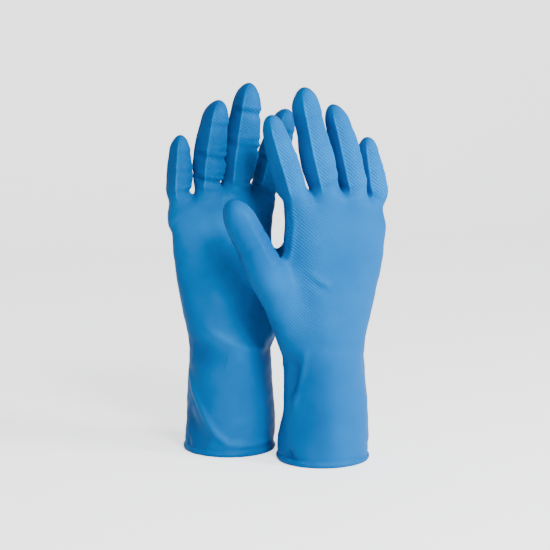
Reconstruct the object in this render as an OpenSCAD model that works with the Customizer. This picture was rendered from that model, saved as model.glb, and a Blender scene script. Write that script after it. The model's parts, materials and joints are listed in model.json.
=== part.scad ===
// A pair of household rubber gloves that stand on their cuffs, fingers up and palms towards -Y.
// The left-hand glove stands in front, and its thumb crosses the palm of the right-hand glove.
// Each glove is one dipped skin with a flock lining. The skin is divided where it flexes: stiff
// stretches are tubes and shells, and a short flexing band joins each pair of them.

/* [Pair] */
// Distance between the two cuffs' centre lines, side to side
pair_dx = 60; // [58:1:120]
// Distance between the two cuffs' centre lines, front to back
pair_dy = 60; // [58:1:120]

/* [Cuff] */
// Outer radius of the skin just above the rolled rim
hem_r = 37.6; // [36:0.2:40]
// Outer radius of the skin at the wrist
wrist_r = 33.2; // [32:0.2:34]
// Height of the wrist joint above the hem
wrist_z = 72; // [66:1:76]
// Half the length of the band that flexes at the wrist
wrist_gap = 10; // [9:0.5:12]
// Height of the rolled rim
bead_h = 5; // [4:0.5:7]
// How far the rolled rim stands out of the cuff
bead_out = 1; // [0.6:0.1:1.6]

/* [Hand] */
// Greatest half width of the palm
palm_hw = 43; // [42:0.5:44]
// Half thickness of the palm under the fingers
palm_ht = 16.5; // [14:0.5:18]
// Height at which the palm parts into the finger roots
knuckle_z = 197; // [192:1:199]
// Forward tilt of every finger, in degrees
finger_tilt = 4; // [0:1:5]

/* [Skin] */
// Thickness of the rubber skin
skin = 0.8; // [0.5:0.1:1.2]
// Thickness of the flock lining
flock = 0.5; // [0.3:0.1:0.8]

/* [Hidden] */
HANDS = ["left", "right"];
FINGERS = ["index", "middle", "ring", "pinky", "thumb"];

plate = 0.5;        // thickness of the oval plates that shape the palm
knuckle_hw = 14;    // half width of the palm's top that runs up into one finger
lining_gap = 0.05;  // clear space between skin and flock, so that the two solids stay apart
seam = 0.1;         // clear space between the hand and the band at a finger's root
smooth = 32;        // sides of a palm section
round_sides = 64;   // sides of a cuff or finger
dome_step = 15;     // degrees between the rings of a fingertip's dome

// Finger by finger: index, middle, ring, pinky, thumb. The frame is that of a left-hand glove,
// whose thumb points to -X. A root is the centre of the finger where it leaves the hand.
ROOT = [[-29.2, -8.8, 221.5], [-3.5, -11.8, 224.7], [21.2, -10.3, 221.8], [43.2, -4.3, 215.7],
        [-51.9, -11.1, 154.2]];
ROOT_R = [11.4, 11.4, 10.4, 8.9, 14.2];    // outer radius at the root
MIDDLE_R = [11.4, 11.8, 10.7, 9.3, 14];    // outer radius halfway up
TIP_R = [9.6, 10.2, 9.4, 8.3, 12.3];       // radius of the domed tip
LENGTH = [63, 81, 70, 48, 69];             // from the root to the end of the tip
BEND_AT = [27, 34, 29, 21, 33];            // from the root to the middle joint
ROOT_GAP = [8, 8, 7.5, 6.5, 8];            // half the length of the band at the root
BEND_GAP = [8, 8, 7.5, 6.5, 9];            // half the length of the band at the middle joint
// Sideways lean of each finger, in degrees from upright, negative towards the thumb
LEAN = [[-18.5, -15.5, -14, -11, -27.5],
        [-16, -6.2, -5, -0.5, -27.5]];

// Cuff outline above the rim: height and outer radius
CUFF = [[bead_h, hem_r], [25, 0.6 * hem_r + 0.4 * wrist_r], [45, 0.3 * hem_r + 0.7 * wrist_r],
        [wrist_z - wrist_gap, wrist_r]];
// Palm sections: height, sideways centre, depth centre, half width, half thickness
PALM = [[wrist_z + wrist_gap, 0, 0, wrist_r, wrist_r],
        [98, 0.5, 0, wrist_r + 0.6, 30],
        [118, 2, -1, palm_hw - 6.5, 26.5],
        [142, 4.5, -3, palm_hw - 3, 23],
        [168, 7, -5.5, palm_hw - 1, 20],
        [knuckle_z, 8, -8.5, palm_hw, palm_ht]];
THENAR = [-27, -5, 104]; // ball at the base of the thumb, inside the palm
THENAR_R = 13;

function reversed(points) = [for (i = [len(points) - 1:-1:0]) points[i]];
function inward(points, depth) = [for (p = points) [p[0], p[1] - depth]];
function dome_start(f) = LENGTH[f] - TIP_R[f];
// Outer radius of finger f at distance s above its root, below the dome
function finger_r(f, s) = lookup(s, [[0, ROOT_R[f]], [0.5 * LENGTH[f], MIDDLE_R[f]],
    [dome_start(f), TIP_R[f]]]);
// Outline of finger f from s0 to s1 as [distance, radius], with the halfway station if inside
function finger_outline(f, s0, s1) = concat([[s0, finger_r(f, s0)]],
    (s0 < 0.5 * LENGTH[f] && 0.5 * LENGTH[f] < s1) ? [[0.5 * LENGTH[f], MIDDLE_R[f]]] : [],
    [[s1, finger_r(f, s1)]]);
// Quarter circle that closes the tip, ending on the axis
function dome(f, depth) = [for (a = [dome_step:dome_step:90])
    [dome_start(f) + (TIP_R[f] - depth) * sin(a), a == 90 ? 0 : (TIP_R[f] - depth) * cos(a)]];
// Sideways lean of finger f on the given hand
function lean(hand, f) = LEAN[hand == "left" ? 0 : 1][f];

// Places a left-hand glove, or its mirror image, at its stand
module glove_at(hand) {
    if (hand == "left") translate([pair_dx / 2, -pair_dy / 2, 0]) children();
    else translate([-pair_dx / 2, pair_dy / 2, 0]) mirror([1, 0, 0]) children();
}

// Stands finger f's own frame at its root, with +Z along the finger
module finger_at(hand, f) {
    translate(ROOT[f]) rotate([finger_tilt, lean(hand, f), 0]) children();
}

// A thin wall turned about Z, from an outline of [height, outer radius]
module turned(outline, wall) {
    points = concat(outline, reversed(inward(outline, wall)));
    rotate_extrude($fn = round_sides) polygon([for (p = points) [p[1], p[0]]]);
}

module rubber() { color([0.02, 0.56, 0.88]) children(); }
module lining_cloth() { color([0.72, 0.86, 0.93]) children(); }

// Sleeve of the glove, from the rim to the wrist
module cuff() { rubber() turned(CUFF, skin); }

module cuff_lining() {
    lining_cloth() turned(inward(CUFF, skin + lining_gap), flock);
}

// Rolled rim with a flat foot and a straight bore, as thick as the cuff's skin and flock at its top
module cuff_bead() {
    inner = hem_r - skin - flock - lining_gap;
    outer = hem_r + bead_out;
    rubber() rotate_extrude($fn = round_sides) polygon([
        [inner, 0], [outer - 0.9, 0], [outer - 0.2, 0.7], [outer, 0.4 * bead_h],
        [outer - 0.25, 0.75 * bead_h], [hem_r, bead_h], [inner, bead_h]]);
}

// Short sleeve that flexes between cuff and hand
module wrist_band() {
    rubber() turned([[wrist_z - wrist_gap, wrist_r], [wrist_z + wrist_gap, wrist_r]],
        skin + flock);
}

// One palm section as an oval plate of the given height, shrunk all round by inset
module palm_section(s, inset, height = plate) {
    translate([s[1], s[2], s[0]]) linear_extrude(height)
        scale([s[3] - inset, s[4] - inset]) circle(r = 1, $fn = smooth);
}

// The stretch of the palm's top section that runs up into finger f
module knuckle_base(f, inset) {
    top = PALM[len(PALM) - 1];
    translate([0, 0, -2 * inset - plate]) intersection() {
        palm_section(top, inset);
        translate([ROOT[f][0] - knuckle_hw + inset, -50, top[0]])
            cube([2 * (knuckle_hw - inset), 100, plate]);
    }
}

// The hand as a solid block, shrunk by inset, with each finger's root cut square across.
// over lengthens its open ends, for cutting through
module hand_block(hand, inset, over) {
    translate([0, 0, -over]) palm_section(PALM[0], inset, over + plate);
    for (i = [0:len(PALM) - 2]) hull() {
        palm_section(PALM[i], inset);
        translate([0, 0, -plate]) palm_section(PALM[i + 1], inset);
    }
    for (f = [0:len(FINGERS) - 2]) hull() {
        knuckle_base(f, inset);
        finger_root(hand, f, inset, over);
    }
    hull() {
        translate(THENAR) sphere(r = THENAR_R - inset, $fn = smooth);
        finger_root(hand, len(FINGERS) - 1, inset, over);
    }
}

// Short stub of finger f, a seam short of its root band
module finger_root(hand, f, inset, over) {
    finger_at(hand, f) translate([0, 0, -ROOT_GAP[f] - seam - 1])
        cylinder(r = ROOT_R[f] - inset, h = 1 + over, $fn = smooth);
}

module hand_shell(hand, depth, wall) {
    difference() {
        hand_block(hand, depth, 0);
        hand_block(hand, depth + wall, 1);
    }
}

// Palm and back of the hand, with a collar for each finger
module palm(hand) { rubber() hand_shell(hand, 0, skin); }
module palm_lining(hand) { lining_cloth() hand_shell(hand, skin + lining_gap, flock); }

// Open stretch of a finger, its skin and flock in one wall
module finger_tube(hand, f, s0, s1) {
    rubber() finger_at(hand, f) turned(finger_outline(f, s0, s1), skin + flock);
}

// Closed end of a finger
module finger_tip(hand, f) {
    wall = skin + flock;
    outside = concat(finger_outline(f, BEND_AT[f] + BEND_GAP[f], dome_start(f)), dome(f, 0));
    inside = concat(inward(finger_outline(f, BEND_AT[f] + BEND_GAP[f], dome_start(f)), wall),
        dome(f, wall));
    rubber() finger_at(hand, f) rotate_extrude($fn = round_sides)
        polygon([for (p = concat(outside, reversed(inside))) [p[1], p[0]]]);
}

module finger(hand, f) {
    name = str(hand, "_", FINGERS[f]);
    finger_tube(hand, f, -ROOT_GAP[f], ROOT_GAP[f]);
    finger_tube(hand, f, ROOT_GAP[f], BEND_AT[f] - BEND_GAP[f]);
    finger_tube(hand, f, BEND_AT[f] - BEND_GAP[f], BEND_AT[f] + BEND_GAP[f]);
    finger_tip(hand, f);
}

for (hand = HANDS) glove_at(hand) {
    cuff();
    cuff_bead();
    cuff_lining();
    wrist_band();
    palm(hand);
    palm_lining(hand);
    for (f = [0:len(FINGERS) - 1]) finger(hand, f);
}
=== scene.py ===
import json
import math
import bpy
import numpy as np
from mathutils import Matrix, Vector


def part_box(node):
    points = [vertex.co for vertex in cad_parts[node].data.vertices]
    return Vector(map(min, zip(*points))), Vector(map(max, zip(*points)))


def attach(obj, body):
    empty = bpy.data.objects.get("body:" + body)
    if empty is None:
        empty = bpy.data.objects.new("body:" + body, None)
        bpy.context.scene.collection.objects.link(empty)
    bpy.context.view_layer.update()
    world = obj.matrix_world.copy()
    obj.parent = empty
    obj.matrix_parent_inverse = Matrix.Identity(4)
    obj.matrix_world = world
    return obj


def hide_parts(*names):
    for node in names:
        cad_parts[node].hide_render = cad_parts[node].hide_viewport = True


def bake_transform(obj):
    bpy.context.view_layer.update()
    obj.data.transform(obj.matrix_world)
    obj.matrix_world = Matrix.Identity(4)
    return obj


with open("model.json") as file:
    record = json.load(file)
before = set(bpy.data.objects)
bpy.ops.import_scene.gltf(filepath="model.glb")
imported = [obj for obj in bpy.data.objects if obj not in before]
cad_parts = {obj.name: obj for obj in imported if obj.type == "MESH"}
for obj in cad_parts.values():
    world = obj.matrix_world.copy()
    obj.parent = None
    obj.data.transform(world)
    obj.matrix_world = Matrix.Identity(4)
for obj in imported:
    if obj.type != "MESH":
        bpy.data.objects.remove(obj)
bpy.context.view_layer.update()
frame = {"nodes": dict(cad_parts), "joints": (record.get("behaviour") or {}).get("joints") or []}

mm = 0.001
fingers = ["index", "middle", "ring", "pinky", "thumb"]
thumbIndex = fingers.index("thumb")
hands = ["left", "right"]
joints = {joint["name"]: joint for joint in frame["joints"]}


# ---- Maths shared by every piece ----

def smoothStep(x, low, high):
    t = np.clip((x - low) / (high - low), 0, 1)
    return t * t * (3 - 2 * t)


def hump(x, centre, width):
    return np.exp(-((x - centre) / width) ** 2)


def smoothMin(a, b, reach):
    share = np.clip(0.5 + 0.5 * (b - a) / reach, 0, 1)
    return b * (1 - share) + a * share - reach * share * (1 - share)


def smoothTable(x, knots, values):
    knots, values = np.array(knots, float), np.array(values, float)
    slopes = np.gradient(values, knots)
    x = np.clip(x, knots[0], knots[-1])
    i = np.clip(np.searchsorted(knots, x) - 1, 0, len(knots) - 2)
    width = knots[i + 1] - knots[i]
    t = (x - knots[i]) / width
    return (values[i] * (2 * t**3 - 3 * t**2 + 1) + slopes[i] * width * (t**3 - 2 * t**2 + t)
            + values[i + 1] * (3 * t**2 - 2 * t**3) + slopes[i + 1] * width * (t**3 - t**2))


def softNoise(points, wavelength, seed):
    rng = np.random.default_rng(seed)
    total = np.zeros(len(points))
    for _ in range(14):
        way = rng.normal(size=3)
        way *= 2 * math.pi / (wavelength * rng.uniform(0.7, 1.6)) / np.linalg.norm(way)
        total += np.sin(points @ way + rng.uniform(0, 2 * math.pi))
    return total / math.sqrt(7)


def distanceToPath(u, v, path):
    nearest, where = np.full(len(u), 1e9), np.zeros(len(u))
    for k, ((u0, v0), (u1, v1)) in enumerate(zip(path[:-1], path[1:])):
        du, dv = u1 - u0, v1 - v0
        t = np.clip(((u - u0) * du + (v - v0) * dv) / (du * du + dv * dv), 0, 1)
        far = np.hypot(u - u0 - t * du, v - v0 - t * dv)
        closer = far < nearest
        nearest[closer], where[closer] = far[closer], (k + t[closer]) / (len(path) - 1)
    return nearest, where


# ---- The gloves' own frame: a left-hand glove, hem centre at the origin, thumb towards -X ----

def gloveFrame(hand):
    low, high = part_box(f"{hand}_cuff_bead")
    centre = (low + high) / 2
    return {"hand": hand, "origin": np.array([centre.x, centre.y, 0.0]),
            "mirror": -1.0 if hand == "right" else 1.0}


def toGlove(glove, points):
    return (np.asarray(points, float) - glove["origin"]) * [glove["mirror"], 1, 1]


def toFrame(glove, points):
    return np.asarray(points, float) * [glove["mirror"], 1, 1] + glove["origin"]


def nodePoints(node):
    mesh = frame["nodes"][node].data
    flat = np.empty(len(mesh.vertices) * 3, np.float32)
    mesh.vertices.foreach_get("co", flat)
    return flat.reshape(-1, 3).astype(float)


def readFinger(glove, finger):
    name = f"{glove['hand']}_{finger}"
    root = toGlove(glove, joints[f"{name}_root"]["pos_m"])
    along = toGlove(glove, joints[f"{name}_bend"]["pos_m"]) - root
    along /= np.linalg.norm(along)
    tip = toGlove(glove, nodePoints(f"{name}_tip")) - root
    band = toGlove(glove, nodePoints(f"{name}_bend_band")) - root
    base = toGlove(glove, nodePoints(f"{name}_root_band")) - root
    across = [np.linalg.norm(p - np.outer(p @ along, along), axis=1).max() for p in (base, band)]
    return {"root": root, "along": along, "length": (tip @ along).max(),
            "rootRadius": across[0], "midRadius": across[1],
            "lean": math.degrees(math.asin(along[0])), "tilt": -math.degrees(math.asin(along[1]))}


gloves = {hand: gloveFrame(hand) for hand in hands}
readings = {hand: {finger: readFinger(gloves[hand], finger) for finger in fingers} for hand in hands}
print("frame read:", {f: round(readings["left"][f]["length"], 4) for f in fingers})


# ---- Shape of one glove, fingers spread so that the skin between them stays apart ----

handShape = {
    # height, sideways centre, depth centre, half width, half thickness, in mm
    "sections": [[-4, 0, 0, 37.4, 37.4], [6, 0, 0, 37.2, 37.2], [25, 0, 0, 35.7, 35.7],
                 [45, 0, 0, 34.4, 34.4], [62, 0, 0, 33.3, 33.1], [74, 0, 0, 33.1, 32.6],
                 [86, 0.2, -0.2, 33.4, 31.8],
                 [100, 0.8, -0.4, 34.6, 29.6], [118, 2.2, -1.2, 37.2, 26.4], [142, 4.6, -3.2, 40.4, 23],
                 [168, 6.8, -5.6, 42.4, 20], [190, 7.6, -8, 43.2, 17.6], [206, 7.6, -9.6, 43.4, 15],
                 [222, 7.4, -10.4, 43, 12.5]],
    # where the clefts between the fingers lie: sideways place, height
    "clefts": [[-60, 186], [-46, 196], [-34, 211], [-16, 217], [9, 218.5], [33, 212], [46, 203],
               [58, 190]],
    "fingerBlend": 8 * mm,
    "thumbBlend": 15 * mm,
    "topBlend": 9 * mm,
    "thenar": [-27, -5, 104],
    "thenarRadius": 13 * mm,
    # the box that the skin is worked out in, and the size of its cells
    "cell": 1.0 * mm,
    "low": (-110 * mm, -46 * mm, -6 * mm),
    "high": (76 * mm, 42 * mm, 312 * mm),
}
# Spread: lean of each finger from upright, in degrees, in the spread shape
fingerShape = {
    "index": {"spread": -25, "tipRadius": 9.4 * mm},
    "middle": {"spread": -9, "tipRadius": 9.8 * mm},
    "ring": {"spread": 5, "tipRadius": 9.1 * mm},
    "pinky": {"spread": 19, "tipRadius": 8.0 * mm},
    "thumb": {"spread": -27.5, "tipRadius": 12 * mm},
}
tipStretch = 1.75  # how much longer a fingertip's dome is than it is wide
buried = 12 * mm  # how far a finger goes on below its root, inside the hand


def spreadFinger(finger):
    made = dict(readings["left"][finger], **fingerShape[finger])
    lean, tilt = math.radians(made["spread"]), math.radians(made["tilt"])
    made["along"] = np.array([math.sin(lean) * math.cos(tilt), -math.sin(tilt),
                              math.cos(lean) * math.cos(tilt)])
    made["side"] = np.array([math.cos(lean), 0, -math.sin(lean)])
    made["pad"] = np.cross(made["side"], made["along"])
    made["domeAt"] = made["length"] - tipStretch * made["tipRadius"]
    return made


spread = {finger: spreadFinger(finger) for finger in fingers}


def fingerPlace(points, finger):
    offset = points - finger["root"]
    s = offset @ finger["along"]
    across, front = offset @ finger["side"], offset @ finger["pad"]
    return s, np.hypot(across, front), np.arctan2(across, front)


def fingerRadius(s, finger):
    return smoothTable(s, [-buried, 0.4 * finger["length"], finger["domeAt"]],
                       [finger["rootRadius"], finger["midRadius"], finger["tipRadius"]])


def fingerField(points, finger):
    s, out, _ = fingerPlace(points, finger)
    over = np.maximum(s - finger["domeAt"], 0) / tipStretch
    under = np.minimum(s + buried, 0)
    return np.sqrt(out**2 + over**2 + under**2) - fingerRadius(s, finger)


def thenarField(points):
    thumb = spread["thumb"]
    low = np.array(handShape["thenar"]) * mm
    way = thumb["root"] - buried * thumb["along"] - low
    t = np.clip((points - low) @ way / (way @ way), 0, 1)
    radius = handShape["thenarRadius"] * (1 - t) + thumb["rootRadius"] * t
    return np.linalg.norm(points - low - t[:, None] * way, axis=1) - radius


def handSection(z):
    table = np.array(handShape["sections"]) * mm
    return [smoothTable(z, table[:, 0], table[:, k]) for k in range(1, 5)]


def palmField(points):
    x, y, z = points.T
    centreX, centreY, halfWidth, halfDepth = handSection(z)
    dx, dy = x - centreX, y - centreY
    ratio = np.sqrt((dx / halfWidth) ** 2 + (dy / halfDepth) ** 2) + 1e-6
    steep = np.sqrt(dx**2 / halfWidth**4 + dy**2 / halfDepth**4) / ratio + 1e-3
    clefts = np.array(handShape["clefts"]) * mm
    top = z - smoothTable(x, clefts[:, 0], clefts[:, 1])
    return -smoothMin(-(ratio - 1) / steep, -top, handShape["topBlend"])


def gloveField(points):
    four = np.min([fingerField(points, spread[f]) for f in fingers[:4]], axis=0)
    thumb = np.minimum(fingerField(points, spread["thumb"]), thenarField(points))
    body = smoothMin(palmField(points), four, handShape["fingerBlend"])
    return smoothMin(body, thumb, handShape["thumbBlend"])


def fieldSlope(points, step=0.2 * mm):
    slope = np.empty_like(points)
    for k in range(3):
        shift = np.zeros(3)
        shift[k] = step
        slope[:, k] = (gloveField(points + shift) - gloveField(points - shift)) / (2 * step)
    return slope


# ---- Mesh helpers ----

def meshObject(name, points, faces):
    mesh = bpy.data.meshes.new(name)
    mesh.from_pydata(np.asarray(points).tolist(), [], [list(map(int, f)) for f in faces])
    mesh.update()
    made = bpy.data.objects.new(name, mesh)
    bpy.context.scene.collection.objects.link(made)
    return made


# A closed net of quads where the field is zero. Coarse blocks are tried first, so that the field is
# only worked out near the surface
def surfaceNet(field, low, high, cell, block=4):
    count = [int(math.ceil((h - l) / cell / block)) * block for l, h in zip(low, high)]
    low = np.array(low)

    def places(index, step, shift):
        return low + (index * step + shift) * cell

    coarse = np.indices([n // block for n in count]).reshape(3, -1).T
    level = field(places(coarse, block, block / 2)).reshape([n // block for n in count])
    for axis in range(3):
        level = np.repeat(level, block, axis)
    near = np.abs(level) < 1.7 * block * cell
    level[near] = field(places(np.argwhere(near), 1, 0))
    inside = level < 0
    owners, spots, flips = [], [], []
    for axis in range(3):
        first = [slice(1, -1)] * 3
        second = [slice(1, -1)] * 3
        second[axis] = slice(2, None)
        here, there = level[tuple(first)], level[tuple(second)]
        crossing = np.argwhere(inside[tuple(first)] != inside[tuple(second)])
        a, b = here[tuple(crossing.T)], there[tuple(crossing.T)]
        spot = (crossing + 1).astype(float)
        spot[:, axis] += a / (a - b)
        sideways = [k for k in range(3) if k != axis]
        ring = np.repeat((crossing + 1)[:, None, :], 4, axis=1)
        for corner, (u, v) in enumerate(((0, 0), (1, 0), (1, 1), (0, 1))):
            ring[:, corner, sideways[0]] -= u
            ring[:, corner, sideways[1]] -= v
        owners.append(np.ravel_multi_index(ring.reshape(-1, 3).T, count).reshape(-1, 4))
        spots.append(spot)
        flips.append((a < 0) == (axis != 1))
    owners, spots, flips = np.concatenate(owners), np.concatenate(spots), np.concatenate(flips)
    used, flat = np.unique(owners, return_inverse=True)
    faces = flat.reshape(-1, 4)
    share = np.bincount(faces.ravel(), minlength=len(used))
    points = np.stack([np.bincount(faces.ravel(), np.repeat(spots[:, k], 4), len(used)) / share
                       for k in range(3)], axis=1)
    faces[~flips] = faces[~flips][:, ::-1]
    return places(points, 1, 0), faces


def neighbourMean(points, faces):
    total, count = np.zeros_like(points), np.zeros(len(points))
    for k in range(4):
        a, b = faces[:, k], faces[:, (k + 1) % 4]
        for axis in range(3):
            total[:, axis] += (np.bincount(a, points[b, axis], len(points))
                               + np.bincount(b, points[a, axis], len(points)))
        count += np.bincount(a, minlength=len(points)) + np.bincount(b, minlength=len(points))
    return total / np.maximum(count, 1)[:, None]


def vertexNormals(points, faces):
    a, b, c, d = (points[faces[:, k]] for k in range(4))
    normal = np.cross(c - a, d - b)
    total = np.zeros_like(points)
    for k in range(4):
        for axis in range(3):
            total[:, axis] += np.bincount(faces[:, k], normal[:, axis], len(points))
    return total / np.maximum(np.linalg.norm(total, axis=1), 1e-12)[:, None]


# Moves points back onto the field's surface
def settle(points, furthest):
    slope = fieldSlope(points)
    move = np.clip(gloveField(points) / np.maximum((slope**2).sum(1), 0.2), -furthest, furthest)
    return points - move[:, None] * slope


skinPoints, skinFaces = surfaceNet(gloveField, handShape["low"], handShape["high"], handShape["cell"])
loose = skinPoints[:, 2] > skinPoints[:, 2].min() + 3 * mm
for _ in range(3):
    skinPoints[loose] += 0.6 * (neighbourMean(skinPoints, skinFaces) - skinPoints)[loose]
    skinPoints[loose] = settle(skinPoints[loose], 0.5 * mm)
skinNormals = vertexNormals(skinPoints, skinFaces)
print("spread skin:", len(skinPoints), "points", len(skinFaces), "faces")


# ---- Where each point lies: on which finger, how far along it and how far round it ----

zones = {
    # distances from the root joint, in mm: where the bending starts and ends, and where the piece is cut
    "index": {"root": [-9, 13], "cut": 14.5, "bend": [16, 38]},
    "middle": {"root": [-9, 14], "cut": 18, "bend": [22, 46]},
    "ring": {"root": [-9, 13], "cut": 15.5, "bend": [18, 41]},
    "pinky": {"root": [-7, 10], "cut": 10.8, "bend": [11.5, 31]},
    "thumb": {"root": [-8, 14], "cut": 17, "bend": [20, 46]},
}


thumbReach, fingerReach = 24 * mm, 20 * mm


def placeOnGlove(points):
    onFinger = np.full(len(points), -1)
    s, turn = np.zeros(len(points)), np.zeros(len(points))
    nearest = np.full(len(points), 1e9)
    for k, finger in enumerate(fingers):
        along, out, around = fingerPlace(points, spread[finger])
        start = zones[finger]["root"][0] * mm
        if finger == "thumb":
            mine = (along > start) & (out < thumbReach)
            mine &= fingerField(points, spread[finger]) < palmField(points)
        else:
            mine = (along > start) & (out < fingerReach)
        closer = mine & (out < nearest)
        onFinger[closer], s[closer] = k, along[closer]
        turn[closer], nearest[closer] = around[closer], out[closer]
    return onFinger, s, turn


onFinger, alongFinger, turnOnFinger = placeOnGlove(skinPoints)
centreX, centreY, halfWidth, halfDepth = handSection(skinPoints[:, 2])
turnOnHand = np.arctan2(skinPoints[:, 0] - centreX, -(skinPoints[:, 1] - centreY))
arcOnHand = turnOnHand * (0.5 * (halfWidth + halfDepth) / mm)
heightOnHand = skinPoints[:, 2] / mm
print("points on fingers:", {f: int((onFinger == k).sum()) for k, f in enumerate(fingers)})


# ---- Relief: creases, pads and folds, in mm out of the surface ----

# Angles round a finger are from its palm side
padEdge = math.radians(40)
padCentre = {"left": math.radians(9), "right": math.radians(-9)}
thumbPadCentre = math.radians(-24)
fingerRelief = {"facet": 0.8, "facetMiddle": math.radians(75), "facetHalf": math.radians(35),
                "facetEnd": (1.92, 2.6), "level": 0.935, "thumbShare": 0.6,
                "padCurve": 5, "padRise": 0.35, "padSlope": math.radians(5)}
# Lips on either side of a fold: height as a share of its depth, place and width as shares of its width
foldLips = [{"height": 0.8, "at": 1.7, "width": 0.9}, {"height": 0.35, "at": -1.9, "width": 1.3}]
foldReach = (0.55, 1.15)  # shares of the half reach at which a fold starts to fade and is gone

# Finger folds: distance along, depth and width in mm, middle of the fold round the finger and half
# reach in degrees, slant
fingerFolds = {
    "left": {
        "index": [[24, 0.25, 2.2, 0, 70, 0.05], [45, 0.2, 2, 0, 70, 0]],
        "middle": [[1, 0.7, 3.5, 20, 60, 0.2], [34, 0.3, 2.4, 0, 70, 0], [57, 0.25, 2, 0, 70, 0]],
        "ring": [[0, 0.5, 3.2, 10, 60, 0.15], [29, 0.25, 2.2, 0, 70, 0], [49, 0.2, 2, 0, 70, 0]],
        "pinky": [[20, 0.25, 2, 0, 70, 0], [34, 0.2, 1.8, 0, 70, 0]],
        "thumb": [[30, 0.5, 2.6, -30, 70, 0.1], [36, 0.4, 2, 40, 60, -0.15], [4, 0.4, 3, 60, 70, 0.2]],
    },
    "right": {
        "index": [[-4, 1.0, 2.0, 0, 85, 0.06], [0.5, 0.5, 1.6, 0, 80, 0.1], [21, 0.9, 2.2, 0, 85, -0.1],
                  [26, 0.5, 1.8, 10, 70, 0.05], [45, 0.4, 2, 0, 70, 0]],
        "middle": [[-3, 0.5, 2.0, 0, 60, 0.12], [1, 0.4, 1.8, -20, 60, -0.1], [29, 0.9, 2.6, 0, 85, 0.08],
                   [34, 0.6, 2, 0, 75, -0.05], [57, 0.7, 2.6, 0, 80, 0.1]],
        "ring": [[-4, 0.35, 2.2, 20, 50, 0.1], [5, 1.2, 2.2, 0, 90, 0.1], [9.5, 0.6, 1.8, 0, 75, 0],
                 [24, 1.2, 2.4, 0, 90, 0.06], [28.5, 0.7, 2, 0, 75, -0.08], [49, 0.4, 2.4, 0, 70, 0]],
        "pinky": [[2, 0.5, 2.4, 0, 80, 0.05], [19, 0.4, 2.2, 0, 75, 0], [33, 0.3, 2, 0, 70, 0]],
        "thumb": [[30, 0.35, 2.6, 0, 80, 0.1], [36, 0.25, 2, 0, 70, -0.1]],
    },
}

foldStrength = {"left": 1.2, "right": 1.6}
# Painted shade that darkens each finger's rubber where the finger lies in shade, with a little painted
# light where a value is above zero, and the painted shade on the side facets of every finger but the thumb
fingerPaintedShading = {"left": {"index": 0.05, "middle": 0.0, "ring": 0.0, "pinky": 0.03, "thumb": -0.2},
              "right": {"index": -0.3, "middle": -0.22, "ring": -0.24, "pinky": -0.18, "thumb": -0.1}}
facetPaintedShade = -0.2
# How much wider a finger is than its plain shape, as a share of its radius
fullness = {"left": {"index": 0.0, "middle": 0.07, "ring": 0.05, "pinky": 0.07, "thumb": 0.0},
            "right": {"index": 0.08, "middle": 0.15, "ring": 0.16, "pinky": 0.09, "thumb": 0.0}}

# Hand folds, in mm: a path of [sideways arc from the palm's centre line, height], how far the ridge
# rises and its width
handFolds = {
    "left": [
        {"path": [[-38.2, 226], [-41, 200], [-43.3, 168], [-44, 160]], "rise": 0.9, "width": 1.4},
        {"path": [[-64, 214], [-66, 170]], "rise": 3.2, "width": 14},
        {"path": [[44, 86], [46, 14]], "rise": 3.0, "width": 20},
        {"path": [[-66, 78], [-68, 20]], "rise": -2.6, "width": 18},
        {"path": [[-47, 218], [-52, 190], [-54, 166]], "rise": -1.3, "width": 5},
        {"path": [[-32, 157], [-22, 150], [-12, 146]], "rise": 1.1, "width": 2.6},
        {"path": [[-30, 151], [-21, 144], [-12, 141]], "rise": -0.7, "width": 3},
        {"path": [[-48, 128], [-44, 118], [-45, 106]], "rise": -1.2, "width": 3},
        {"path": [[-44, 90], [-38, 70], [-33, 40]], "rise": 0.8, "width": 5},
        {"path": [[-37, 84], [-38, 58]], "rise": -2.6, "width": 6},
        {"path": [[-26, 94], [-28, 82], [-34, 61], [-39, 44]], "rise": 1.2, "width": 2.8},
        {"path": [[-46, 12], [-40, 7]], "rise": -2.2, "width": 4},
        {"path": [[20, 96], [34, 84], [48, 82]], "rise": -0.8, "width": 5},
        {"path": [[-20, 101], [4, 94], [26, 97]], "rise": -0.5, "width": 5},
        {"path": [[70, 96], [92, 88], [112, 92]], "rise": -1.3, "width": 6},
        {"path": [[68, 82], [92, 74], [110, 80]], "rise": 0.8, "width": 5},
        {"path": [[60, 20], [84, 34], [98, 52]], "rise": 0.9, "width": 6},
        {"path": [[-98, 60], [-80, 34], [-66, 12]], "rise": 0.8, "width": 6},
    ],
    "right": [
        {"path": [[-32, 157], [-22, 150], [-12, 146]], "rise": 0.9, "width": 2.6},
        {"path": [[54, 66], [35, 37], [23, 19], [13, 11.5], [-9, 9.5], [-31, 10]], "rise": 2.3,
         "width": 3.2},
        {"path": [[58, 36], [42, 18], [30, 10]], "rise": -3.4, "width": 9},
        {"path": [[30, 108], [14, 97], [-6, 89], [-28, 87]], "rise": 1.6, "width": 3.2},
        {"path": [[44, 88], [28, 84], [12, 80]], "rise": -3.4, "width": 9},
        {"path": [[34, 150], [30, 128], [26, 112]], "rise": -0.9, "width": 8},
        {"path": [[-46, 104], [-36, 92], [-24, 80]], "rise": -1.0, "width": 5},
        {"path": [[74, 98], [96, 90], [114, 96]], "rise": -1.4, "width": 6},
        {"path": [[70, 66], [94, 52], [112, 48]], "rise": 0.9, "width": 6},
        {"path": [[-100, 84], [-84, 70], [-70, 72]], "rise": -1.2, "width": 6},
        {"path": [[46, 190], [58, 199], [62, 207]], "rise": 5.0, "width": 10},
        {"path": [[-44, 84], [-46, 10]], "rise": 3.4, "width": 20},
        {"path": [[58, 12], [52, 6]], "rise": -1.8, "width": 4},
        {"path": [[-60, 12], [-56, 6]], "rise": 1.2, "width": 4},
    ],
}
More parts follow.
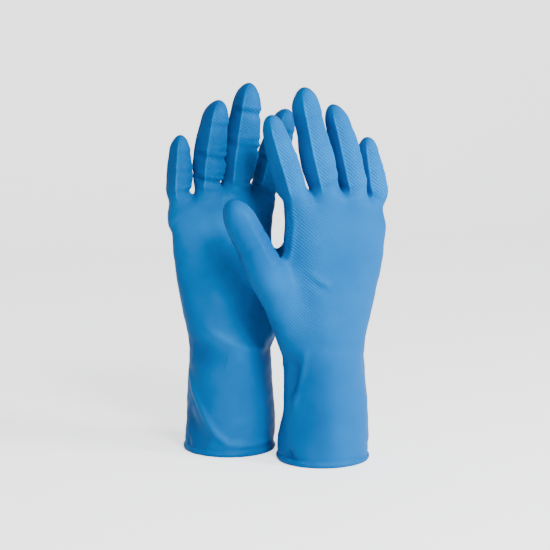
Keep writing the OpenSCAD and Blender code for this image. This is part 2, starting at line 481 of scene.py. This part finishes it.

# Painted light and painted shade: softly lighter and darker patches of rubber that stand in for light and
# for shade at the wrists, cuffs and palms, with a path of the same form
paintedLightAndShadePatches = {
    "left": [
        {"path": [[-36, 86], [-38, 60]], "tone": -0.3, "width": 7},
        {"path": [[-12, 78], [-14, 20]], "tone": -0.2, "width": 11},
        {"path": [[-30, 108], [-26, 130]], "tone": -0.15, "width": 14},
        {"path": [[-46, 8], [-38, 5]], "tone": -0.5, "width": 4},
        {"path": [[40, 180], [36, 60]], "tone": 0.12, "width": 22},
    ],
    "right": [
        {"path": [[56, 88], [34, 82]], "tone": -0.35, "width": 13},
        {"path": [[62, 36], [46, 12]], "tone": -0.35, "width": 12},
        {"path": [[44, 140], [36, 118]], "tone": -0.15, "width": 12},
        {"path": [[8, 190], [2, 104]], "tone": 0.32, "width": 30},
        {"path": [[-4, 60], [-6, 24]], "tone": 0.2, "width": 20},
    ],
}

foldEnds = 0.25  # share of a hand fold's height that is left at its ends
# The groove above the rolled rim, and how far the skin flares into the rim
hemBand = {"top": 6.2, "groove": -0.55, "width": 1.2, "flare": 0.25}


def reliefOnFinger(hand, k):
    finger, here = spread[fingers[k]], onFinger == k
    s, turn = alongFinger[here] / mm, turnOnFinger[here]
    length, domeAt = finger["length"] / mm, finger["domeAt"] / mm
    radius = fingerRadius(alongFinger[here], finger) / mm
    grow = smoothStep(s, -6, 6) * (1 - smoothStep(s, domeAt - 2, length - 1))
    around = np.abs(turn - (thumbPadCentre if fingers[k] == "thumb" else padCentre[hand]))
    half = fingerRelief["facetHalf"]
    bend = np.clip(around - fingerRelief["facetMiddle"], -half, half)
    facet = fingerRelief["level"] / np.cos(bend) - 1
    facet *= np.where(around < padEdge, (around / padEdge) ** fingerRelief["padCurve"],
                      1 - smoothStep(around, *fingerRelief["facetEnd"]))
    relief = fingerRelief["facet"] * radius * facet * grow
    if fingers[k] == "thumb":
        relief *= fingerRelief["thumbShare"] * smoothStep(s, 0, 20)
    full = smoothStep(s, -4, 20) * (1 - smoothStep(s, domeAt, length))
    relief += fullness[hand][fingers[k]] * radius * full
    if fingers[k] != "thumb":
        pad = 1 - smoothStep(around, padEdge - fingerRelief["padSlope"], padEdge)
        relief += fingerRelief["padRise"] * grow * pad
    for at, depth, width, middle, reach, slant in fingerFolds[hand][fingers[k]]:
        depth *= foldStrength[hand]
        gap = s - at - slant * radius * np.sin(turn)
        window = 1 - smoothStep(np.abs(turn - math.radians(middle)), math.radians(foldReach[0] * reach),
                                math.radians(foldReach[1] * reach))
        lips = sum(lip["height"] * hump(gap, lip["at"] * width, lip["width"] * width) for lip in foldLips)
        relief += depth * window * (lips - hump(gap, 0, width))
    return here, relief


def reliefOnHand(hand):
    reach = np.where(onFinger == thumbIndex, 12 * mm, 6 * mm)
    onHand = np.where(onFinger < 0, 1, 1 - smoothStep(alongFinger, -7 * mm, reach))
    relief = np.zeros(len(skinPoints))
    for fold in handFolds[hand]:
        far, along = distanceToPath(arcOnHand, heightOnHand, fold["path"])
        fade = foldEnds + (1 - foldEnds) * np.sqrt(4 * along * (1 - along))
        relief += fold["rise"] * hump(far, 0, fold["width"]) * fade
    band = hump(heightOnHand, hemBand["top"], hemBand["width"])
    relief += hemBand["groove"] * band + hemBand["flare"] * (1 - smoothStep(heightOnHand, 3, 7))
    return relief * onHand


# Painted shade and painted light on the skin: darker fingers and side facets, and lighter and darker
# patches on the hand
def paintedHandShading(hand):
    tone = np.zeros(len(skinPoints))
    for k, name in enumerate(fingers):
        here = onFinger == k
        s, around = alongFinger[here] / mm, np.abs(turnOnFinger[here] - padCentre[hand])
        # painted shade on the whole finger
        tone[here] += fingerPaintedShading[hand][name] * smoothStep(s, -7, 16)
        if name != "thumb":
            # painted shade on both side facets, which turn away from the pad
            facet = smoothStep(around, padEdge, padEdge + 0.12) * (1 - smoothStep(around, 1.9, 2.5))
            tone[here] += facetPaintedShade * facet * smoothStep(s, -6, 4)
    # painted light and painted shade patches, on the hand only
    for patch in paintedLightAndShadePatches[hand]:
        far, _ = distanceToPath(arcOnHand, heightOnHand, patch["path"])
        tone += patch["tone"] * hump(far, 0, patch["width"]) * (onFinger < 0)
    return tone


# Soft unevenness of the skin: height in mm and wavelength, and the share of it that is left at the hem
unevenness = {"broad": 0.45, "broadLength": 46 * mm, "fine": 0.12, "fineLength": 13 * mm, "atHem": 0.3,
              "seed": {"left": 5, "right": 11}}


def reliefFor(hand):
    seed = unevenness["seed"][hand]
    relief = unevenness["broad"] * softNoise(skinPoints, unevenness["broadLength"], seed)
    relief += unevenness["fine"] * softNoise(skinPoints, unevenness["fineLength"], seed + 1)
    atHem = unevenness["atHem"]
    relief *= smoothStep(skinPoints[:, 2], 4 * mm, 30 * mm) * (1 - atHem) + atHem
    for k in range(len(fingers)):
        here, more = reliefOnFinger(hand, k)
        relief[here] += more
    relief += reliefOnHand(hand)
    for _ in range(2):
        relief = 0.5 * (relief + neighbourMean(relief[:, None] * np.ones(3), skinFaces)[:, 0])
    return relief


# ---- Bring the spread fingers back to where each hand's joints have them ----

# How far each fingertip curves sideways out of its finger's straight line, in mm
tipDrift = {"left": {"index": -0.8, "middle": 1.2, "ring": -3.0, "pinky": 0.0, "thumb": 0.0},
            "right": {"index": 0.0, "middle": 0.0, "ring": -3.0, "pinky": 0.0, "thumb": 0.0}}


def gatherFingers(hand, points):
    points = points.copy()
    for k, name in enumerate(fingers):
        here = onFinger == k
        finger, target = spread[name], readings[hand][name]
        offset = points[here] - finger["root"]
        share = smoothStep(alongFinger[here], zones[name]["root"][0] * mm, 10 * mm)
        swing = share * math.radians(target["lean"] - finger["spread"])
        c, n = np.cos(swing), np.sin(swing)
        x, z = offset[:, 0] * c + offset[:, 2] * n, offset[:, 2] * c - offset[:, 0] * n
        x += tipDrift[hand][name] * mm * np.clip(alongFinger[here] / finger["length"], 0, 1) ** 3
        points[here] = np.stack([x, offset[:, 1], z], axis=1) + target["root"]
    return points


# ---- Attributes that the rubber's material reads ----

gripShown = {"left": 1.0, "right": 0.55}
noEdge = 20.0  # distance to a pad's border, in mm, where there is none


def gripAttributes(hand):
    place = np.zeros((len(skinPoints), 3))
    mask, show = np.zeros(len(skinPoints)), np.zeros(len(skinPoints))
    edge = np.full(len(skinPoints), noEdge)
    facing = -skinNormals[:, 1]
    x, z = skinPoints[:, 0] / mm, skinPoints[:, 2] / mm
    place[:, 0], place[:, 1] = x, z
    onPalm = onFinger < 0
    mask[onPalm] = (smoothStep(facing, 0.25, 0.6) * smoothStep(z, 98, 116))[onPalm]
    # the scales fade across the palm, but for a patch above the wrist
    patch = hump(x, 6, 12) * hump(z, 118, 14)
    calm = np.clip(0.25 + 0.75 * smoothStep(x, -22, 8) - 0.35 * patch, 0, 0.94)
    mask[onPalm] *= (1 - calm)[onPalm]
    fromThumb = np.linalg.norm(skinPoints - spread["thumb"]["root"], axis=1) / mm
    mask *= smoothStep(fromThumb, 18, 30) * smoothStep(x, -44, -34) * (onFinger != thumbIndex)
    for k, name in enumerate(fingers[:4]):
        here = onFinger == k
        finger = spread[name]
        s, turn, radius = alongFinger[here], turnOnFinger[here], fingerRadius(alongFinger[here], finger)
        lean = math.radians(readings[hand][name]["lean"])
        place[here, 0] = (finger["root"][0] + radius * turn * math.cos(lean) + s * math.sin(lean)) / mm
        place[here, 1] = (finger["root"][2] + s * math.cos(lean) - radius * turn * math.sin(lean)) / mm
        fade = smoothStep(s / mm, (finger["domeAt"] + 3 * mm) / mm, finger["length"] / mm - 2)
        around = np.abs(turn - padCentre[hand])
        edge[here] = (around - padEdge) * radius / mm
        show[here] = smoothStep(s / mm, -6, 4) * (1 - fade)
        pad = 1 - smoothStep(around, padEdge - 0.06, padEdge)
        onward = smoothStep(s / mm, -6, 3)
        mask[here] = (mask[here] * (1 - onward) + pad * onward) * (1 - 0.7 * hump(s / mm, -6, 3))
    place[:, 0] *= gloves[hand]["mirror"]
    mask *= gripShown[hand]
    return {"gripPlace": place, "gripMask": mask, "padDistance": edge, "padShow": show}


# ---- Materials ----

def newGroup(name, inputs, outputs):
    group = bpy.data.node_groups.new(name, "ShaderNodeTree")
    for kind, label, value in inputs:
        socket = group.interface.new_socket(label, in_out="INPUT", socket_type=kind)
        if value is not None:
            socket.default_value = value
    for kind, label in outputs:
        group.interface.new_socket(label, in_out="OUTPUT", socket_type=kind)
    return group, group.nodes.new("NodeGroupInput"), group.nodes.new("NodeGroupOutput")


def wire(tree, source, target):
    tree.links.new(source, target)


def mathNode(tree, operation, a, b=None, c=None):
    node = tree.nodes.new("ShaderNodeMath")
    node.operation = operation
    for k, value in enumerate((a, b, c)):
        if value is None:
            continue
        if hasattr(value, "links"):
            wire(tree, value, node.inputs[k])
        else:
            node.inputs[k].default_value = value
    return node.outputs[0]


def attribute(tree, name):
    node = tree.nodes.new("ShaderNodeAttribute")
    node.attribute_name = name
    return node


def noiseNode(tree, place, scale, detail):
    node = tree.nodes.new("ShaderNodeTexNoise")
    node.inputs["Scale"].default_value = scale
    node.inputs["Detail"].default_value = detail
    wire(tree, place, node.inputs["Vector"])
    return node.outputs["Fac"]


def rampNode(tree, source, ends):
    node = tree.nodes.new("ShaderNodeValToRGB")
    for element, (position, color) in zip(node.color_ramp.elements, ends):
        element.position, element.color = position, color
    wire(tree, source, node.inputs[0])
    return node.outputs[0]


def bumpNode(tree, height, distance):
    node = tree.nodes.new("ShaderNodeBump")
    node.inputs["Strength"].default_value = 1.0
    node.inputs["Distance"].default_value = distance
    wire(tree, height, node.inputs["Height"])
    return node.outputs["Normal"]


# Rows of scales, in mm
grip = {"pitch": 2.0, "cell": 2.4, "slant": math.radians(42), "stagger": 0.5, "skew": 1.6,
        "domed": 0.4, "ridged": 0.6}


def gripGroup():
    inputs = [("NodeSocketVector", "Place", None), ("NodeSocketFloat", "Mask", 1.0)]
    group, given, result = newGroup("gripScales", inputs, [("NodeSocketFloat", "Height")])
    turned = group.nodes.new("ShaderNodeVectorRotate")
    turned.rotation_type = "Z_AXIS"
    turned.inputs["Angle"].default_value = grip["slant"]
    wire(group, given.outputs["Place"], turned.inputs["Vector"])
    parts = group.nodes.new("ShaderNodeSeparateXYZ")
    wire(group, turned.outputs[0], parts.inputs[0])
    row = mathNode(group, "DIVIDE", parts.outputs["Y"], grip["pitch"])
    rowIndex = mathNode(group, "FLOOR", row)
    upRow = mathNode(group, "SUBTRACT", row, rowIndex)
    stagger = mathNode(group, "MULTIPLY", rowIndex, grip["stagger"])
    across = mathNode(group, "DIVIDE", parts.outputs["X"], grip["cell"])
    column = mathNode(group, "FRACT", mathNode(group, "ADD", across, stagger))
    acrossDome = mathNode(group, "SINE", mathNode(group, "MULTIPLY", column, math.pi))
    skewed = mathNode(group, "POWER", upRow, grip["skew"])
    upDome = mathNode(group, "SINE", mathNode(group, "MULTIPLY", skewed, math.pi))
    rowShape = mathNode(group, "MULTIPLY_ADD", acrossDome, grip["domed"], grip["ridged"])
    body = mathNode(group, "MULTIPLY", upDome, rowShape)
    wire(group, mathNode(group, "MULTIPLY", body, given.outputs["Mask"]), result.inputs["Height"])
    return group


# Clouds per metre, and the tones of the rubber from hollow to crest: the dark hollow colour is painted
# shade and the light crest colour is painted light
tones = {"cloudScale": 26, "cloudDetail": 3, "cloudShare": 0.5,
         "hollow": (0.0, 0.07, 0.25, 1), "body": (0.0, 0.135, 0.41, 1), "bodyAt": 0.7,
         "crest": (0.0, 0.205, 0.6, 1), "roughness": 0.33, "cloudRoughness": 0.14}


# The rubber's colour: random clouds of tone, and a painted shade value that moves the colour toward the
# dark hollow colour and the light crest colour
def toneAndPaintedShadeGroup():
    inputs = [("NodeSocketVector", "Place", None), ("NodeSocketFloat", "PaintedShade", 0.0)]
    outputs = [("NodeSocketColor", "Color"), ("NodeSocketFloat", "Roughness")]
    group, given, result = newGroup("rubberToneAndPaintedShade", inputs, outputs)
    clouds = noiseNode(group, given.outputs["Place"], tones["cloudScale"], tones["cloudDetail"])
    shade = mathNode(group, "MULTIPLY_ADD", clouds, tones["cloudShare"], given.outputs["PaintedShade"])
    color = rampNode(group, shade, [(0.0, tones["hollow"]), (tones["bodyAt"], tones["body"])])
    crest = color.node.color_ramp.elements.new(1.0)
    crest.color = tones["crest"]
    wire(group, color, result.inputs["Color"])
    roughness = mathNode(group, "MULTIPLY_ADD", clouds, tones["cloudRoughness"], tones["roughness"])
    wire(group, roughness, result.inputs["Roughness"])
    return group


gripShader, toneAndPaintedShadeNodes = gripGroup(), toneAndPaintedShadeGroup()
# Heights of the grip, the grain and the pads' borders in metres, and how much lighter grip and border are
# painted, as a painted highlight on the scales and along the pads' borders
nitrile = {"bumpGrip": 0.4 * mm, "bumpGrain": 0.035 * mm, "bumpEdge": 0.35 * mm, "edgeWidth": 1.2,
           "edgePaintedHighlight": 0.5, "gripPaintedHighlight": 0.3, "grainScale": 900, "grainDetail": 2,
           "index": 1.25, "shine": 0.32, "shineTint": (0.12, 0.7, 1, 1)}


def groupNode(tree, group):
    node = tree.nodes.new("ShaderNodeGroup")
    node.node_tree = group
    return node


def nitrileMaterial():
    made = bpy.data.materials.new("nitrile")
    made.use_nodes = True
    tree = made.node_tree
    skin = tree.nodes["Principled BSDF"]
    place = attribute(tree, "restPlace").outputs["Vector"]
    tone = groupNode(tree, toneAndPaintedShadeNodes)
    wire(tree, place, tone.inputs["Place"])
    wire(tree, tone.outputs["Color"], skin.inputs["Base Color"])
    wire(tree, tone.outputs["Roughness"], skin.inputs["Roughness"])
    skin.inputs["IOR"].default_value = nitrile["index"]
    skin.inputs["Specular IOR Level"].default_value = nitrile["shine"]
    skin.inputs["Specular Tint"].default_value = nitrile["shineTint"]
    scales = groupNode(tree, gripShader)
    wire(tree, attribute(tree, "gripPlace").outputs["Vector"], scales.inputs["Place"])
    wire(tree, attribute(tree, "gripMask").outputs["Fac"], scales.inputs["Mask"])
    grain = noiseNode(tree, place, nitrile["grainScale"], nitrile["grainDetail"])
    far = mathNode(tree, "ABSOLUTE", attribute(tree, "padDistance").outputs["Fac"])
    inside = mathNode(tree, "SUBTRACT", 1.0, mathNode(tree, "DIVIDE", far, nitrile["edgeWidth"]))
    edge = mathNode(tree, "MAXIMUM", inside, 0.0)
    edge = mathNode(tree, "MULTIPLY", edge, attribute(tree, "padShow").outputs["Fac"])
    toneWithPaintedShade = attribute(tree, "toneWithPaintedShade").outputs["Fac"]
    # painted highlight along the pads' borders and on the grip's scales, added to the skin's painted shade
    fold = mathNode(tree, "MULTIPLY_ADD", edge, nitrile["edgePaintedHighlight"], toneWithPaintedShade)
    fold = mathNode(tree, "MULTIPLY_ADD", scales.outputs["Height"], nitrile["gripPaintedHighlight"], fold)
    wire(tree, fold, tone.inputs["PaintedShade"])
    height = mathNode(tree, "MULTIPLY", scales.outputs["Height"], nitrile["bumpGrip"])
    height = mathNode(tree, "MULTIPLY_ADD", grain, nitrile["bumpGrain"], height)
    height = mathNode(tree, "MULTIPLY_ADD", edge, nitrile["bumpEdge"], height)
    wire(tree, bumpNode(tree, height, 1.0), skin.inputs["Normal"])
    return made


flock = {"roughness": 0.95, "scale": 1400, "detail": 4, "bump": 0.2 * mm,
         "dark": (0.33, 0.55, 0.68, 1), "light": (0.62, 0.78, 0.86, 1)}


def flockMaterial():
    made = bpy.data.materials.new("flock")
    made.use_nodes = True
    tree = made.node_tree
    cloth = tree.nodes["Principled BSDF"]
    cloth.inputs["Roughness"].default_value = flock["roughness"]
    place = attribute(tree, "restPlace").outputs["Vector"]
    fluff = noiseNode(tree, place, flock["scale"], flock["detail"])
    color = rampNode(tree, fluff, [(0.35, flock["dark"]), (0.7, flock["light"])])
    wire(tree, color, cloth.inputs["Base Color"])
    wire(tree, bumpNode(tree, fluff, flock["bump"]), cloth.inputs["Normal"])
    return made


nitrileSkin, flockCloth = nitrileMaterial(), flockMaterial()
print("materials made")


# ---- Pieces: cut from one continuous skin, so that no seam shows ----

def setAttribute(mesh, name, kind, values):
    layer = mesh.attributes.new(name, kind, "POINT")
    field = "vector" if kind == "FLOAT_VECTOR" else "value"
    layer.data.foreach_set(field, np.asarray(values, np.float32).ravel())


def cutPiece(name, glove, points, normals, faces, marks, material):
    used, flat = np.unique(faces, return_inverse=True)
    local = flat.reshape(faces.shape)
    if glove["mirror"] < 0:
        local = local[:, ::-1]
    made = meshObject(name, toFrame(glove, points[used]), local)
    mesh = made.data
    mesh.shade_smooth()
    setAttribute(mesh, "restPlace", "FLOAT_VECTOR", skinPoints[used])
    for mark, values in marks.items():
        setAttribute(mesh, mark, "FLOAT" if values.ndim == 1 else "FLOAT_VECTOR", values[used])
    mesh.normals_split_custom_set_from_vertices((normals[used] * [glove["mirror"], 1, 1]).tolist())
    mesh.materials.append(material)
    return made


def wristBlend(piece):
    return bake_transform(piece)


def fingerBlend(piece):
    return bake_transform(piece)


# Where skin and lining end inside the rolled rim, and how far inside the skin the flock's surface lies
hem = {"skinEdge": 1.6 * mm, "liningEdge": 2.2 * mm, "wall": 1.1 * mm}
# Tone of the skin: plain, and the painted light that a mm of height and a mm of sharp crest add to it,
# which is painted shade where the relief sinks into hollows and creases
reliefPaintedShading = {"plain": 0.25, "height": 0.05, "mostHeight": 2, "crest": 0.25, "mostCrest": 0.3}


def paintedShadingFor(hand, relief):
    smoothed = neighbourMean(relief[:, None] * np.ones(3), skinFaces)[:, 0]
    height = np.clip(relief, -reliefPaintedShading["mostHeight"], reliefPaintedShading["mostHeight"])
    crest = np.clip(relief - smoothed, -reliefPaintedShading["mostCrest"], reliefPaintedShading["mostCrest"])
    tone = reliefPaintedShading["plain"] + reliefPaintedShading["height"] * height + reliefPaintedShading["crest"] * crest
    return tone + paintedHandShading(hand)


def buildGlove(hand):
    glove = gloves[hand]
    relief = reliefFor(hand)
    shaped = skinPoints + (relief * mm)[:, None] * skinNormals
    posed = gatherFingers(hand, shaped)
    normals = vertexNormals(posed, skinFaces)
    # the rubber's tone with its painted shade and painted light, from the relief and the hand's patches
    marks = dict(gripAttributes(hand), toneWithPaintedShade=paintedShadingFor(hand, relief))
    centre = posed[skinFaces].mean(1)
    faceFinger = np.array([np.bincount(row + 1, minlength=6).argmax() - 1 for row in onFinger[skinFaces]])
    faceAlong = alongFinger[skinFaces].max(1)
    above = skinPoints[skinFaces][:, :, 2].min(1) > hem["skinEdge"]
    handFaces = (faceFinger < 0) & above
    skin = cutPiece(f"{hand}_hand_skin", glove, posed, normals, skinFaces[handFaces], marks, nitrileSkin)
    wristBlend(skin)
    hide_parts(f"{hand}_cuff", f"{hand}_wrist_band", f"{hand}_palm")
    inner = posed - hem["wall"] * normals
    liningFaces = handFaces & (centre[:, 2] > hem["liningEdge"])
    lining = cutPiece(f"{hand}_hand_lining", glove, inner, -normals, skinFaces[liningFaces][:, ::-1],
                      {}, flockCloth)
    wristBlend(lining)
    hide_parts(f"{hand}_cuff_lining", f"{hand}_palm_lining")
    for k, finger in enumerate(fingers):
        name, zone = f"{hand}_{finger}", zones[finger]
        mine = faceFinger == k
        upper = mine & (faceAlong > zone["cut"] * mm)
        lower = mine & ~upper
        base = cutPiece(f"{name}_base_skin", glove, posed, normals, skinFaces[lower], marks, nitrileSkin)
        fingerBlend(base)
        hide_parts(f"{name}_root_band", f"{name}_lower")
        end = cutPiece(f"{name}_end_skin", glove, posed, normals, skinFaces[upper], marks, nitrileSkin)
        fingerBlend(end)
        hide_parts(f"{name}_bend_band", f"{name}_tip")
    print(hand, "glove cut into pieces:", int(handFaces.sum()), "hand faces")
    return posed


# ---- Rolled rim ----

# The rim follows the skin's lowest stretch, between the two heights of band, and is smoothed to the
# given number of waves round the cuff
bead = {"steps": 360, "ringSteps": 20, "halfHeight": 2.5 * mm, "halfThickness": 1.0 * mm,
        "inset": 0.45 * mm, "flat": 0.25, "band": (1.0 * mm, 4.5 * mm), "waves": 24,
        "wobble": 0.35 * mm, "wobbleLength": (30 * mm, 9 * mm), "wobbleUp": 0.4, "wobbleOut": 0.25,
        "tone": 0.22, "seed": {"left": 2, "right": 7}}


def buildBead(hand, posed):
    glove = gloves[hand]
    bandLow, bandHigh = bead["band"]
    low = (skinPoints[:, 2] > bandLow) & (skinPoints[:, 2] < bandHigh) & (onFinger < 0)
    turn = np.arctan2(posed[low, 0], -posed[low, 1])
    radius = np.hypot(posed[low, 0], posed[low, 1])
    order = np.argsort(turn)
    turn, radius = turn[order], radius[order]
    around = np.linspace(-math.pi, math.pi, bead["steps"], endpoint=False)
    edge = np.interp(around, turn, radius, period=2 * math.pi)
    waves = np.fft.rfft(edge)
    waves[bead["waves"]:] = 0
    edge = np.fft.irfft(waves, bead["steps"])
    seed = bead["seed"][hand]
    circle = np.stack([np.sin(around), -np.cos(around), np.zeros_like(around)], axis=1) * edge[:, None]
    longWave, shortWave = bead["wobbleLength"]
    wobble = softNoise(circle, longWave, seed) + 0.5 * softNoise(circle, shortWave, seed + 1)
    wobble *= bead["wobble"]
    points, faces = [], []
    for i, a in enumerate(around):
        for j in range(bead["ringSteps"]):
            b = 2 * math.pi * j / bead["ringSteps"]
            out = bead["halfThickness"] * math.cos(b) * (1 + bead["flat"] * math.cos(2 * b))
            half = bead["halfHeight"] + bead["wobbleUp"] * wobble[i]
            r = edge[i] - bead["inset"] + out + bead["wobbleOut"] * wobble[i]
            points.append([r * math.sin(a), -r * math.cos(a), half + half * math.sin(b)])
            nextI, nextJ = (i + 1) % bead["steps"], (j + 1) % bead["ringSteps"]
            faces.append([i * bead["ringSteps"] + j, nextI * bead["ringSteps"] + j,
                          nextI * bead["ringSteps"] + nextJ, i * bead["ringSteps"] + nextJ])
    points = np.array(points)
    points[:, 2] -= points[:, 2].min()
    faces = np.array(faces)
    if glove["mirror"] < 0:
        faces = faces[:, ::-1]
    made = meshObject(f"{hand}_rim", toFrame(glove, points), faces)
    made.data.shade_smooth()
    setAttribute(made.data, "restPlace", "FLOAT_VECTOR", points)
    setAttribute(made.data, "gripMask", "FLOAT", np.zeros(len(points)))
    setAttribute(made.data, "padDistance", "FLOAT", np.full(len(points), noEdge))
    setAttribute(made.data, "padShow", "FLOAT", np.zeros(len(points)))
    setAttribute(made.data, "toneWithPaintedShade", "FLOAT", np.full(len(points), bead["tone"]))
    made.data.materials.append(nitrileSkin)
    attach(made, f"{hand}_cuff")
    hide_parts(f"{hand}_cuff_bead")
    return made


for hand in hands:
    buildBead(hand, buildGlove(hand))
print("pieces made")


# ---- Stage, lights and camera ----

# Glow is seen by the camera only, so that the paper looks white without lighting the gloves
stage = {"size": 8.0, "sweepAt": 1.2, "sweep": 0.8, "top": 4.0, "tone": (0.95, 0.955, 0.96, 1),
         "roughness": 0.9, "glow": 1.5, "sky": 0.2, "skyGlow": 1.45, "skyTone": (0.95, 0.97, 1, 1)}


def cameraGlow(tree, base, glow):
    seen = tree.nodes.new("ShaderNodeLightPath").outputs["Is Camera Ray"]
    return mathNode(tree, "MULTIPLY_ADD", seen, glow, base)


def buildStage():
    tone = bpy.data.materials.new("paper")
    tone.use_nodes = True
    paper = tone.node_tree.nodes["Principled BSDF"]
    paper.inputs["Base Color"].default_value = stage["tone"]
    paper.inputs["Roughness"].default_value = stage["roughness"]
    paper.inputs["Emission Color"].default_value = stage["tone"]
    wire(tone.node_tree, cameraGlow(tone.node_tree, 0.0, stage["glow"]), paper.inputs["Emission Strength"])
    half, sweepAt, sweep = stage["size"] / 2, stage["sweepAt"], stage["sweep"]
    profile = [(-half, 0.0), (sweepAt, 0.0)]
    profile += [(sweepAt + sweep * math.sin(a), sweep - sweep * math.cos(a))
                for a in np.radians(np.arange(5, 91, 5))]
    profile.append((sweepAt + sweep, stage["top"]))
    points, faces = [], []
    for y, z in profile:
        points += [(-half, y, z), (half, y, z)]
    for k in range(len(profile) - 1):
        faces.append([2 * k, 2 * k + 1, 2 * k + 3, 2 * k + 2])
    floor = meshObject("backdrop", points, faces)
    floor.data.shade_smooth()
    floor.data.materials.append(tone)


lights = [
    {"name": "key", "place": (1.45, -1.35, 1.05), "aim": (0, 0, 0.15), "size": 0.7, "power": 60},
    {"name": "front", "place": (0.1, -1.6, 1.3), "aim": (0, 0, 0.15), "size": 0.7, "power": 50},
    {"name": "rim", "place": (-1.5, 0.5, 0.35), "aim": (0, 0, 0.06), "size": 0.6, "power": 2,
     "color": (0.8, 0.95, 1)},
]


def areaLight(name, place, aim, size, power, color=(1, 1, 1)):
    lamp = bpy.data.lights.new(name, "AREA")
    lamp.shape, lamp.size, lamp.energy, lamp.color = "DISK", size, power, color
    made = bpy.data.objects.new(name, lamp)
    bpy.context.scene.collection.objects.link(made)
    made.location = place
    made.rotation_mode = "QUATERNION"
    made.rotation_quaternion = (Vector(aim) - Vector(place)).to_track_quat("-Z", "Y")


# Degrees and metres. Width is how much is seen across the picture at the gloves
cameraView = {"azimuth": -20, "elevation": 8.5, "distance": 1.5, "aim": (0.0, 0.0, 0.1484),
              "width": 0.4494, "sensor": 36}


def buildCamera():
    lens = bpy.data.cameras.new("camera")
    made = bpy.data.objects.new("camera", lens)
    bpy.context.scene.collection.objects.link(made)
    a, e = math.radians(cameraView["azimuth"]), math.radians(cameraView["elevation"])
    back = Vector((math.sin(a) * math.cos(e), -math.cos(a) * math.cos(e), math.sin(e)))
    made.location = Vector(cameraView["aim"]) + cameraView["distance"] * back
    made.rotation_mode = "QUATERNION"
    made.rotation_quaternion = (-back).to_track_quat("-Z", "Y")
    lens.sensor_width = cameraView["sensor"]
    lens.lens = cameraView["sensor"] * cameraView["distance"] / cameraView["width"]
    bpy.context.scene.camera = made


def buildWorld():
    world = bpy.data.worlds.new("sky")
    world.use_nodes = True
    background = world.node_tree.nodes["Background"]
    background.inputs["Color"].default_value = stage["skyTone"]
    strength = cameraGlow(world.node_tree, stage["sky"], stage["skyGlow"])
    wire(world.node_tree, strength, background.inputs["Strength"])
    bpy.context.scene.world = world


buildStage()
buildWorld()
for light in lights:
    areaLight(**light)
buildCamera()
